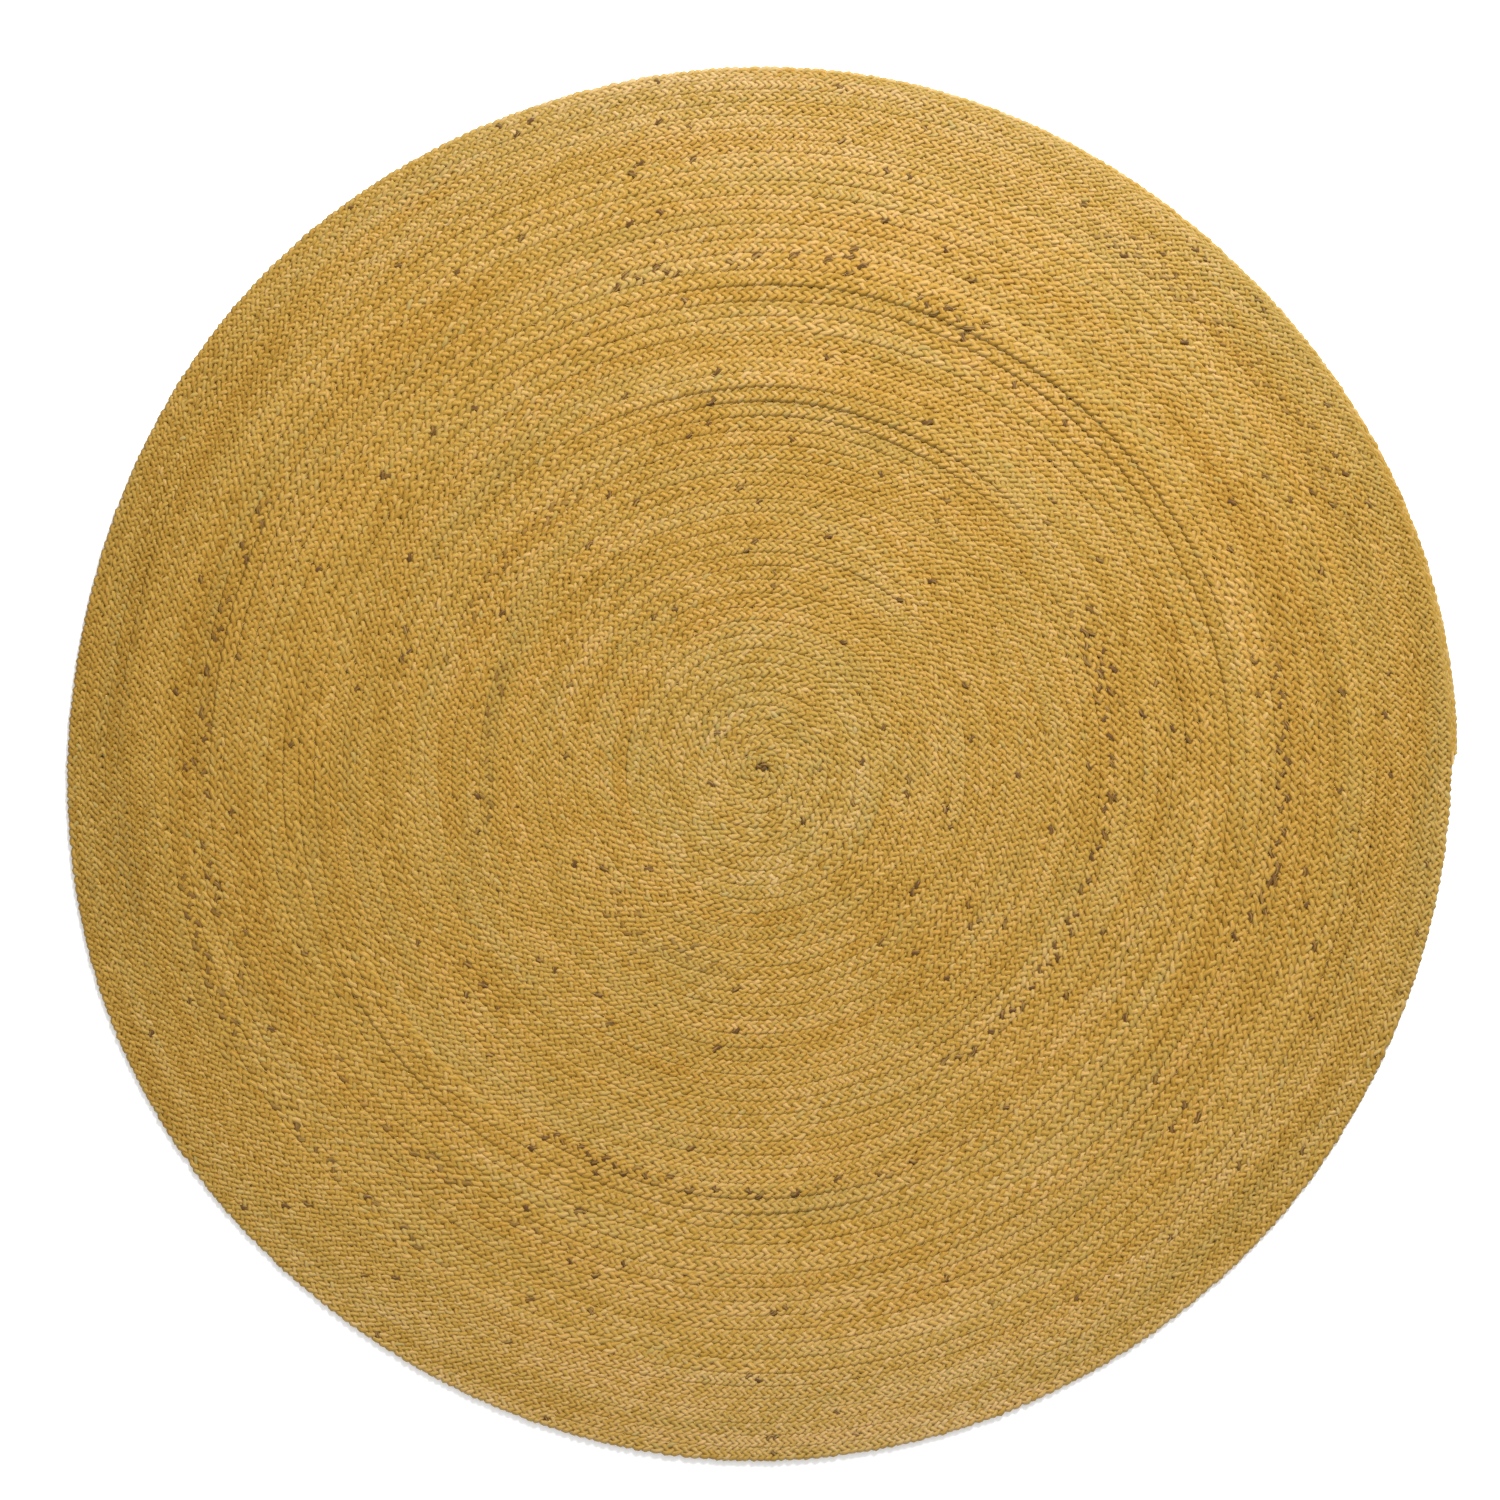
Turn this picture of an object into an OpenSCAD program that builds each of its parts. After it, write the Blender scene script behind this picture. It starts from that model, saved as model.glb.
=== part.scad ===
// Round area rug: one long flat braid of plaited jute, wound in a spiral and sewn edge to edge.
// The braid is made in lengths that follow one another from the centre out. Each half turn is a true
// half circle, and its centre steps sideways so that the turns stay side by side.
// Origin at the centre of the underside, +Z up, floor at z = 0. The spiral runs clockwise from above.

/* [Braid] */
// Usual width of the flat braid, which is also the pitch of the turns
braid_w = 15; // [12:0.5:20]
// Thickness of the flat braid, which is the thickness of the rug
braid_t = 7; // [5:0.5:10]
// Half turns that each length of braid makes, from the centre out
half_turns = [18, 16, 14, 10, 4, 10, 8, 6, 8, 6]; // [2:1:24]
// How much wider than usual each length came out, or narrower where it is negative
extra_w = [0.4, -0.5, -0.5, 0.2, -0.5, 1.5, 0.4, 0.4, -1.7, -1.7]; // [-2:0.1:2]
// Clearance between neighbouring turns, and between the end of one length and the next
turn_gap = 0.3; // [0.1:0.05:0.6]

/* [Start] */
// Radius of the small eye that the first turn is bent round
eye_r = 0.6; // [0.3:0.1:2]

/* [Sewing thread] */
// Thickness of the thread that joins the turns
thread_d = 0.9; // [0.5:0.1:1.2]
// Clearance between the thread and the braid on either side of it
thread_gap = 0.1; // [0.05:0.05:0.3]

/* [Tail] */
// Width to which the last half turn of braid is drawn in where it ends
tip_w = 4; // [3:0.5:8]
// Thickness of the braid along that half turn
tail_t = 6; // [4:0.5:7]
// Length of the thread binding wound round the end
binding_l = 14; // [8:1:24]
// Thickness of that binding
binding_t = 0.9; // [0.5:0.1:1.2]
// Clearance between the binding and the braid that it holds
binding_gap = 0.05; // [0.02:0.01:0.2]

/* [Hidden] */
$fn = 180;

jute = "#BC944B";
jute_deep = "#B48C44";
jute_grey = "#AE9352";
thread_tan = "#C6A469";

function sum_before(v, k) = k == 0 ? 0 : v[k - 1] + sum_before(v, k - 1);

lengths = len(half_turns);
// The first half turn of each length, counted from the centre
first_half = [for (k = [0:lengths]) sum_before(half_turns, k)];
halves = first_half[lengths];
last = halves - 1;

// Width of the braid in each half turn
half_w = [for (k = [0:lengths - 1]) for (j = [1:half_turns[k]]) braid_w + extra_w[k]];
function w_at(i) = half_w[max(0, min(last, i))];

// How much the radius grows after half turn i, so that it clears the turns inside and outside it
function grow(i) = max(w_at(i - 1) + w_at(i + 1), w_at(i) + w_at(i + 2)) / 4;
function side(i) = i % 2 == 0 ? 1 : -1;

// Radius of the braid's middle line in each half turn, and where that half circle is centred
radius = [for (i = 0, r = w_at(0) / 2 + eye_r; i < halves; r = r + grow(i), i = i + 1) r];
centre = [for (i = 0, x = 0; i < halves; x = x + side(i) * grow(i), i = i + 1) x];

// Outline of the last half turn, which keeps the rug round
rim_r = radius[last - 1] + (w_at(last) + tip_w - turn_gap) / 2;
rim_x = centre[last - 1] + side(last - 1) * tip_w / 2;
rug_x = rim_x;
rug_y = -side(last) * tip_w / 4;

binding_deg = binding_l / radius[last] * 180 / PI;
neck_shrink = binding_t + binding_gap;

// Centre of the thread from the middle of the groove and from the mid plane. It usually rests on two
// rounded edges. Along the tail, whose edge is upright, it lies further in and higher.
thread_reach = (braid_t + thread_d) / 2 + thread_gap;
edge_in = (braid_t + turn_gap) / 2;
tail_in = thread_gap + (thread_d - turn_gap) / 2;
usual_spot = [0, sqrt(pow(thread_reach, 2) - pow(edge_in, 2))];
tail_spot = [-tail_in, sqrt(pow(thread_reach, 2) - pow(edge_in - tail_in, 2))];

// Cross section of the braid: flat faces and half round edges, thinned all round by shrink
module braid_section(w, shrink = 0) {
    t = braid_t - 2 * shrink;
    flat_w = w - turn_gap - braid_t;
    translate([0, braid_t / 2]) {
        square([flat_w, t], center = true);
        for (s = [-1, 1]) translate([s * flat_w / 2, 0]) circle(d = t, $fn = 48);
    }
}

// Part of half turn i, swept back from its end at from_deg to to_deg. Even ones lie on the -Y side.
module sweep_half(i, from_deg, to_deg) {
    translate([centre[i] - rug_x, -rug_y, 0])
        rotate([0, 0, (i % 2 == 0 ? 180 : 0) + from_deg])
            rotate_extrude(angle = to_deg - from_deg) translate([radius[i], 0]) children();
}

// Part of the last half turn, which narrows to the tip between the turn inside it and the rim
module tail_part(from_deg, to_deg, shrink = 0) {
    inner_r = radius[last] - (w_at(last) - turn_gap) / 2 + shrink;
    reach = 2 * rim_r;
    t = tail_t - 2 * shrink;
    translate([0, -rug_y, (braid_t - t) / 2])
        linear_extrude(t)
            intersection() {
                difference() {
                    circle(r = rim_r - shrink);
                    translate([centre[last] - rug_x, 0]) circle(r = inner_r);
                }
                translate([centre[last] - rug_x, 0])
                    polygon([
                        [0, 0],
                        for (a = [from_deg:(to_deg - from_deg) / 4:to_deg + 0.01])
                            reach * [cos(a), sin(a)]
                    ]);
            }
}

module braid_length(k) {
    for (i = [first_half[k]:first_half[k + 1] - 1]) {
        // The first half turn of a length starts a clearance short of the length before it
        start_deg = 180 - (i == first_half[k] && i > 0 ? turn_gap / radius[i] * 180 / PI : 0);
        if (i < last) sweep_half(i, 0, start_deg) braid_section(w_at(i));
        else {
            tail_part(binding_deg, start_deg);
            tail_part(0, binding_deg, neck_shrink);
        }
    }
}

// The thread that sews length k to the turn outside it, bedded in the groove on each half turn's
// outer edge, a clearance short at both ends. It lies on top for level 1 and underneath for level -1.
module seam_thread(k, level) {
    color(thread_tan)
        for (i = [first_half[k]:min(first_half[k + 1] - 1, last - 2)]) {
            spot = i < last - 2 ? usual_spot : tail_spot;
            clear_deg = turn_gap / radius[i] * 180 / PI;
            sweep_half(i, clear_deg, 180 - clear_deg)
                translate([w_at(i) / 2 + spot[0], braid_t / 2 + level * spot[1]])
                    circle(d = thread_d, $fn = 4);
        }
}

module start_knot() {
    // The strand ends, knotted and pushed down into the half round space inside the first turn
    knot_r = radius[1] - w_at(1) / 2 - turn_gap * 3 / 2;
    color(jute_deep)
        translate([centre[1] - rug_x, turn_gap - rug_y, 0])
            rotate_extrude(angle = 180) {
                square([knot_r - braid_t / 2, braid_t]);
                intersection() {
                    translate([knot_r - braid_t / 2, braid_t / 2]) circle(d = braid_t, $fn = 48);
                    square([knot_r, braid_t]);
                }
            }
}

module braid_01() { color(jute_grey) braid_length(0); }
module braid_02() { color(jute) braid_length(1); }
module braid_03() { color(jute_deep) braid_length(2); }
module braid_04() { color(jute) braid_length(3); }
module braid_05() { color(jute_deep) braid_length(4); }
module braid_06() { color(jute) braid_length(5); }
module braid_07() { color(jute_deep) braid_length(6); }
module braid_08() { color(jute) braid_length(7); }
module braid_09() { color(jute_grey) braid_length(8); }
module braid_10() { color(jute_grey) braid_length(9); }

module needle_thread_01() { seam_thread(0, 1); }
module needle_thread_02() { seam_thread(1, 1); }
module needle_thread_03() { seam_thread(2, 1); }
module needle_thread_04() { seam_thread(3, 1); }
module needle_thread_05() { seam_thread(4, 1); }
module needle_thread_06() { seam_thread(5, 1); }
module needle_thread_07() { seam_thread(6, 1); }
module needle_thread_08() { seam_thread(7, 1); }
module needle_thread_09() { seam_thread(8, 1); }
module needle_thread_10() { seam_thread(9, 1); }

module bobbin_thread_01() { seam_thread(0, -1); }
module bobbin_thread_02() { seam_thread(1, -1); }
module bobbin_thread_03() { seam_thread(2, -1); }
module bobbin_thread_04() { seam_thread(3, -1); }
module bobbin_thread_05() { seam_thread(4, -1); }
module bobbin_thread_06() { seam_thread(5, -1); }
module bobbin_thread_07() { seam_thread(6, -1); }
module bobbin_thread_08() { seam_thread(7, -1); }
module bobbin_thread_09() { seam_thread(8, -1); }
module bobbin_thread_10() { seam_thread(9, -1); }

module tail_binding() {
    color(thread_tan)
        difference() {
            tail_part(0, binding_deg - turn_gap / radius[last] * 180 / PI);
            tail_part(-1, binding_deg + 1, binding_t);
        }
}

start_knot();
braid_01();
braid_02();
braid_03();
braid_04();
braid_05();
braid_06();
braid_07();
braid_08();
braid_09();
braid_10();
needle_thread_01();
needle_thread_02();
needle_thread_03();
needle_thread_04();
needle_thread_05();
needle_thread_06();
needle_thread_07();
needle_thread_08();
needle_thread_09();
needle_thread_10();
bobbin_thread_01();
bobbin_thread_02();
bobbin_thread_03();
bobbin_thread_04();
bobbin_thread_05();
bobbin_thread_06();
bobbin_thread_07();
bobbin_thread_08();
bobbin_thread_09();
bobbin_thread_10();
tail_binding();
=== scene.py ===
# %% [markdown]
# # A round rug of plaited jute
#
# The rug is one long flat plait. It starts in a small knot, runs round and round in a spiral, and is sewn
# to itself with a zigzag thread. Nothing else holds it: no backing and no border. So the lesson has three
# steps: work out the line that the plait follows, let Geometry Nodes weave four strands along that line,
# and give the strands the dry, streaky look of jute. All lengths are in metres.

# %% Tools
import math

import bpy
import numpy as np
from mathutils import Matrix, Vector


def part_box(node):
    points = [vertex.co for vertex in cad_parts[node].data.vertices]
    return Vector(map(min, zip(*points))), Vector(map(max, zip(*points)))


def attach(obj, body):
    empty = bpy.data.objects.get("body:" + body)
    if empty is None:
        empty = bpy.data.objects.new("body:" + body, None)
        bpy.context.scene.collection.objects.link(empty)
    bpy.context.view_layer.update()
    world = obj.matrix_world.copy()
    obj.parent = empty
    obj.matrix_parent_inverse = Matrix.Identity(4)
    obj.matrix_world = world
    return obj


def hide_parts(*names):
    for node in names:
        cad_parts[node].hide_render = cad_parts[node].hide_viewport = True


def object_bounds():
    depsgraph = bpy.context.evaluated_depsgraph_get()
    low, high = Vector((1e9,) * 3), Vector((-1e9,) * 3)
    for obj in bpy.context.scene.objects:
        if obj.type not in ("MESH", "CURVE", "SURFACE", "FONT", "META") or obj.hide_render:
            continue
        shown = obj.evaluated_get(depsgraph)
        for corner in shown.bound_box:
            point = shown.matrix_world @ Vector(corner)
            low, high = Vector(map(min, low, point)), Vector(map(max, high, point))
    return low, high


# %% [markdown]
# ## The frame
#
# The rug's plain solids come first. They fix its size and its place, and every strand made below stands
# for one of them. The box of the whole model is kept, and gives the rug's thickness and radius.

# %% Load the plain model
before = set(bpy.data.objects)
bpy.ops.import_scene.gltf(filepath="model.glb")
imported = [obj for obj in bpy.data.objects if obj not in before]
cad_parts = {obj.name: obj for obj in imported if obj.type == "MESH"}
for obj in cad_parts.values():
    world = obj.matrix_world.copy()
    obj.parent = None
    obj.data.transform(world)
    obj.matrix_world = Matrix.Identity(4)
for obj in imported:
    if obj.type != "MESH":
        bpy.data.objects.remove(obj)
cad_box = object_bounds()
MM = 0.001
THICK = cad_box[1][2] - cad_box[0][2]
RUG_R = (cad_box[1][0] - cad_box[0][0]) / 2
print(f"rug {2 * RUG_R / MM:.1f} mm across and {THICK / MM:.1f} mm thick, {len(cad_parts)} nodes")

# %% [markdown]
# ## The line of the spiral
#
# A real plait is laid by hand, but a good first guess at its line is a chain of half circles whose centres
# step left and right. Each length of plait came out a little wider or narrower than the last, so each has
# its own width, and its own length of one full over-and-under cycle. An outward step is half a width, so
# neighbouring turns always touch.

# %% Lengths of plait, from the centre out
# Each row: half turns made, width of the plait, length of one weave cycle
LENGTHS = [
    (18, 15.4 * MM, 33.0 * MM),
    (16, 14.5 * MM, 33.5 * MM),
    (14, 14.5 * MM, 33.5 * MM),
    (10, 15.2 * MM, 35.5 * MM),
    (4, 14.5 * MM, 36.0 * MM),
    (10, 16.5 * MM, 38.0 * MM),
    (8, 15.4 * MM, 38.0 * MM),
    (6, 15.4 * MM, 37.0 * MM),
    (8, 13.3 * MM, 34.0 * MM),
    (6, 13.3 * MM, 34.0 * MM),
]
EYE_R = 0.6 * MM
TURN_GAP = 0.3 * MM
TIP_W = 4 * MM
BINDING_L = 14 * MM

first_half = np.concatenate([[0], np.cumsum([row[0] for row in LENGTHS])])
half_w = np.repeat([row[1] for row in LENGTHS], [row[0] for row in LENGTHS])
LAST = len(half_w) - 1
near_w = half_w[np.clip(np.arange(-1, LAST + 3), 0, LAST)]
grow = np.maximum(near_w[:-3] + near_w[2:-1], near_w[1:-2] + near_w[3:]) / 4
way = np.where(np.arange(LAST + 1) % 2 == 0, 1, -1)
radius = half_w[0] / 2 + EYE_R + np.concatenate([[0], np.cumsum(grow)[:-1]])
centre = np.concatenate([[0], np.cumsum(way * grow)[:-1]])
rim_r = radius[LAST - 1] + (half_w[LAST] + TIP_W - TURN_GAP) / 2
rim_x = centre[LAST - 1] + way[LAST - 1] * TIP_W / 2
rim_y = -way[LAST] * TIP_W / 4
arc = math.pi * radius
run_to = np.concatenate([[0], np.cumsum(arc)])
print(f"{(LAST + 1) / 2:.0f} turns, {run_to[-1]:.1f} m of plait, rim radius {rim_r / MM:.1f} mm")

# %% [markdown]
# The line is read at any distance from the start: which half circle that is, the angle round it, and the
# width there. The last half turn narrows to its tip between the turn inside it and the round rim.

# %% Read the spiral at a distance
def spiral_at(run, outward=0.0):
    """Points on the plait's middle line, and the plait's width there. outward moves by half widths."""
    i = np.clip(np.searchsorted(run_to, run, side="right") - 1, 0, LAST)
    angle = np.where(i % 2 == 0, 0, math.pi) - math.pi * (run - run_to[i]) / arc[i]
    width = half_w[i] - TURN_GAP
    r = radius[i].copy()
    tail = i == LAST
    off = rim_x - centre[LAST]
    outer = off * np.cos(angle) + np.sqrt(rim_r**2 - (off * np.sin(angle)) ** 2)
    inner = radius[LAST] - width / 2
    width = np.where(tail, outer - inner, width)
    r = np.where(tail, (outer + inner) / 2, r) + outward * (width + TURN_GAP) / 2
    x = centre[i] - rim_x + r * np.cos(angle)
    y = r * np.sin(angle) - rim_y
    return np.column_stack([x, y]), width


for k in range(len(LENGTHS)):
    ends = spiral_at(run_to[first_half[[k, k + 1]]] + [1e-6, -1e-6])[0]
    node = f"braid_{k + 1:02d}"
    low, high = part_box(node)
    print(f"{node} box x {low[0]:.4f} to {high[0]:.4f}, line x {ends[0][0]:.4f} to {ends[1][0]:.4f}")

# %% [markdown]
# ## How it lies
#
# A perfect spiral looks machined. The real rug was rolled up and laid out again: its rim wanders by a few
# millimetres, its middle sits slightly towards the -Y side, rows weave in and out a little, and shallow
# ridges cross it. These are smooth moves of the line, made before any strand is woven, so that the strands
# follow them without a tear. The moves are sums of a few waves and bumps, because they have to be gentle.

# %% Waves and ridges
# The rim is a sum of waves of one size, with two to six lobes, each turned by chance
RIM_LOBES = range(2, 7)
RIM_SWAY = 1.5 * MM
RIM_SEED = 1
lobe_turns = np.random.default_rng(RIM_SEED).uniform(0, 2 * math.pi, len(RIM_LOBES))
MIDDLE_SHIFT = np.array([0.0, -6.0]) * MM
SEWN_IN = 2.5 * MM
# Each ridge: place as a share of the radius, middle angle in degrees, half width, half angle, height
RIDGES = [
    (0.335, 60, 0.020, 28, 2.0 * MM),
    (0.545, 66, 0.032, 26, 4.8 * MM),
    (0.566, 97, 0.028, 22, 4.2 * MM),
    (0.714, 58, 0.031, 40, 4.8 * MM),
    (0.765, 156, 0.030, 26, 4.0 * MM),
    (0.920, 160, 0.018, 14, 2.4 * MM),
    (0.640, 220, 0.024, 18, 2.8 * MM),
    (0.610, 272, 0.024, 28, 3.0 * MM),
    (0.450, 310, 0.030, 30, 1.4 * MM),
    (0.700, 0, 0.022, 22, 1.6 * MM),
]


def settle(flat):
    """Move points of the ideal spiral to how the rug lies, and give each its height above the floor."""
    share = np.hypot(flat[:, 0], flat[:, 1]) / RUG_R
    angle = np.arctan2(flat[:, 1], flat[:, 0])
    out = sum(RIM_SWAY * np.cos(lobes * angle - turn) for lobes, turn in zip(RIM_LOBES, lobe_turns))
    out -= SEWN_IN
    sway = 0.7 * MM * np.sin(5 * angle + 23 * share) + 0.5 * MM * np.sin(11 * angle - 31 * share + 1.7)
    push = out * share**2 + sway * np.clip(share * 4, 0, 1) * np.clip((1.02 - share) * 6, 0, 1)
    spot = flat + np.outer(1 - np.clip(share, 0, 1) ** 2, MIDDLE_SHIFT)
    spot = spot + np.column_stack([np.cos(angle), np.sin(angle)]) * push[:, None]
    lift = np.zeros(len(flat))
    for place, at, half_width, half_angle, height in RIDGES:
        turn = np.degrees(np.abs(np.angle(np.exp(1j * (angle - math.radians(at))))))
        lift += height * np.exp(-(((share - place) / half_width) ** 2) - (turn / half_angle) ** 2)
    lift += 0.5 * MM * (1 + np.sin(3 * angle + 6 * share)) * share
    return np.column_stack([spot, lift])


probe = settle(spiral_at(np.linspace(0, run_to[-1], 4000))[0])
print(f"line lies {probe[:, 2].min() / MM:.2f} to {probe[:, 2].max() / MM:.2f} mm up")

# %% [markdown]
# ## Writing node trees
#
# Both the weaving and the materials are node trees. Three small helpers keep them readable: one adds a node
# and fills its inputs, one does a sum, and one opens a tree with named inputs.

# %% Node helpers
def add(tree, kind, inputs=None, **settings):
    """A new node. Each input is given a value, or linked to the output socket given for it."""
    made = tree.nodes.new(kind)
    for name, value in settings.items():
        setattr(made, name, value)
    for key, value in (inputs or {}).items():
        if isinstance(value, bpy.types.NodeSocket):
            tree.links.new(value, made.inputs[key])
        else:
            made.inputs[key].default_value = value
    return made


def calc(tree, operation, a, b=0.0, c=0.0):
    return add(tree, "ShaderNodeMath", {0: a, 1: b, 2: c}, operation=operation).outputs[0]


def open_tree(name, kind, inputs, outputs):
    """A node tree with its named inputs and outputs, and its input and output nodes."""
    tree = bpy.data.node_groups.new(name, kind)
    for label, socket, value in inputs:
        made = tree.interface.new_socket(label, in_out="INPUT", socket_type=socket)
        if value is not None:
            made.default_value = value
    for label, socket in outputs:
        tree.interface.new_socket(label, in_out="OUTPUT", socket_type=socket)
    return tree, tree.nodes.new("NodeGroupInput").outputs, tree.nodes.new("NodeGroupOutput").inputs


print("helpers ready")

# %% [markdown]
# ## A strand
#
# Each strand is a soft bundle of fibres that is squashed where it lies flat. It could be modelled once and
# repeated by an array, but it would repeat exactly. Sweeping a flattened ring along a curve costs the same,
# and lets the bundle swell and shrink from place to place. The sweep also writes down where each point is
# on the strand: how far along, and how far round. The materials need both, because fibres run lengthwise.

# %% Tree: sweep a bundle along a curve
def build_bundle_tree():
    tree, given, result = open_tree(
        "Fibre Bundle", "GeometryNodeTree",
        [
            ("Curve", "NodeSocketGeometry", None),
            ("Half Width", "NodeSocketFloat", 3.1 * MM),
            ("Half Thickness", "NodeSocketFloat", 1.7 * MM),
            ("Sides", "NodeSocketInt", 4),
            ("Lump Height", "NodeSocketFloat", 0.5 * MM),
            ("Lump Size", "NodeSocketFloat", 4.0 * MM),
            ("Material", "NodeSocketMaterial", None),
        ],
        [("Mesh", "NodeSocketGeometry")],
    )
    upright = add(tree, "GeometryNodeSetCurveNormal", {"Curve": given["Curve"]}, mode="Z_UP")
    spline = tree.nodes.new("GeometryNodeSplineParameter").outputs
    marked = add(
        tree, "GeometryNodeStoreNamedAttribute",
        {"Geometry": upright.outputs[0], "Name": "along", "Value": spline["Length"]},
        data_type="FLOAT", domain="POINT",
    )
    unit = {"Resolution": given["Sides"], "Radius": 1.0}
    ring = add(tree, "GeometryNodeCurvePrimitiveCircle", unit, mode="RADIUS")
    size = add(
        tree, "ShaderNodeCombineXYZ", {"X": given["Half Width"], "Y": given["Half Thickness"], "Z": 1.0}
    )
    # A corner at the top of the ring gives the bundle a crown
    crowned = add(
        tree, "GeometryNodeTransform",
        {"Geometry": ring.outputs[0], "Rotation": (0, 0, math.pi / 2)},
    )
    flattened = add(
        tree, "GeometryNodeTransform", {"Geometry": crowned.outputs[0], "Scale": size.outputs[0]}
    )
    around = add(
        tree, "GeometryNodeStoreNamedAttribute",
        {"Geometry": flattened.outputs[0], "Name": "around", "Value": spline["Factor"]},
        data_type="FLOAT", domain="POINT",
    )
    swept = add(
        tree, "GeometryNodeCurveToMesh",
        {"Curve": marked.outputs[0], "Profile Curve": around.outputs[0], "Fill Caps": True},
    )
    # Bundles are lumpy, as yarns shift inside them
    place = tree.nodes.new("GeometryNodeInputPosition").outputs[0]
    noise = add(
        tree, "ShaderNodeTexNoise",
        {"Vector": place, "Scale": calc(tree, "DIVIDE", 1.0, given["Lump Size"]), "Detail": 1.0},
    )
    swell = calc(tree, "MULTIPLY", calc(tree, "SUBTRACT", noise.outputs[0], 0.5), given["Lump Height"])
    normal = tree.nodes.new("GeometryNodeInputNormal").outputs[0]
    move = add(tree, "ShaderNodeVectorMath", {0: normal, "Scale": swell}, operation="SCALE")
    lumpy = add(tree, "GeometryNodeSetPosition", {"Geometry": swept.outputs[0], "Offset": move.outputs[0]})
    smooth = add(tree, "GeometryNodeSetShadeSmooth", {"Geometry": lumpy.outputs[0]})
    real = add(tree, "GeometryNodeRealizeInstances", {"Geometry": smooth.outputs[0]})
    dressed = add(
        tree, "GeometryNodeSetMaterial", {"Geometry": real.outputs[0], "Material": given["Material"]}
    )
    tree.links.new(dressed.outputs[0], result["Mesh"])
    return tree


bundle_tree = build_bundle_tree()
print("tree", bundle_tree.name, "has", len(bundle_tree.nodes), "nodes")

# %% [markdown]
# ## Weaving four strands
#
# In this flat plait every strand swings from edge to edge, and the four are a quarter of a cycle apart. A
# three-strand plait would show two rows of tufts, but this one shows three, as each strand comes up near
# one edge, in the middle, and near the other edge. So a strand can be written as two waves of one weave
# angle: a slow one that carries it sideways, and one three times as fast that lifts it over and under.
# The tree adds slow wander and small jitter, because hands don't pull evenly.

# %% Tree: one strand of a plait
FAST_LIFT, SLOW_LIFT = 1.207, 0.207
CROWN_GAIN = 1.1
SEED_STEP = 37.13


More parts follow.
